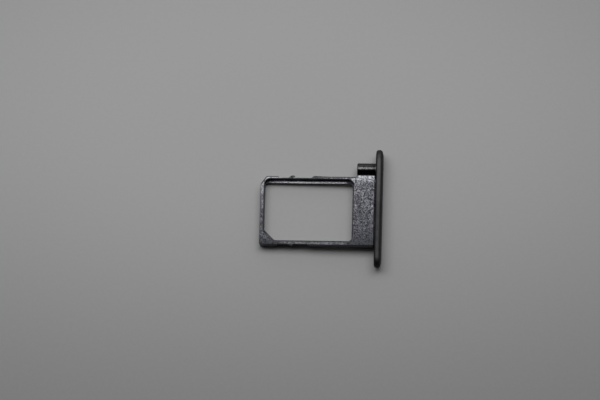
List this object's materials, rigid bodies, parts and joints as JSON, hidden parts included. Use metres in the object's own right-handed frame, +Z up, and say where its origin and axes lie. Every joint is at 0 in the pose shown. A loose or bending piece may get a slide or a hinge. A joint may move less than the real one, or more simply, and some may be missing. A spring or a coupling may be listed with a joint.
{
  "type": "sim card tray",
  "caption": "One-piece metal tray that carries a nano SIM card: open frame with ledges, solid land, rounded faceplate, and a tube that leads the eject pin in.",
  "frame": {"origin": "middle of the frame's section (centre line and mid-thickness) at the faceplate's back plane", "axes": "+X the way the tray is pulled out, through the faceplate; +Y towards the side with the eject pin tube; +Z up, the side from which the card drops in"},
  "size_m": [0.017, 0.0169, 0.0024],
  "materials": {
    "tray_metal": "fine blasted satin, dark grey coated"
  },
  "bodies": {
    "root": {"tray": "tray_metal"}
  },
  "joints": []
}
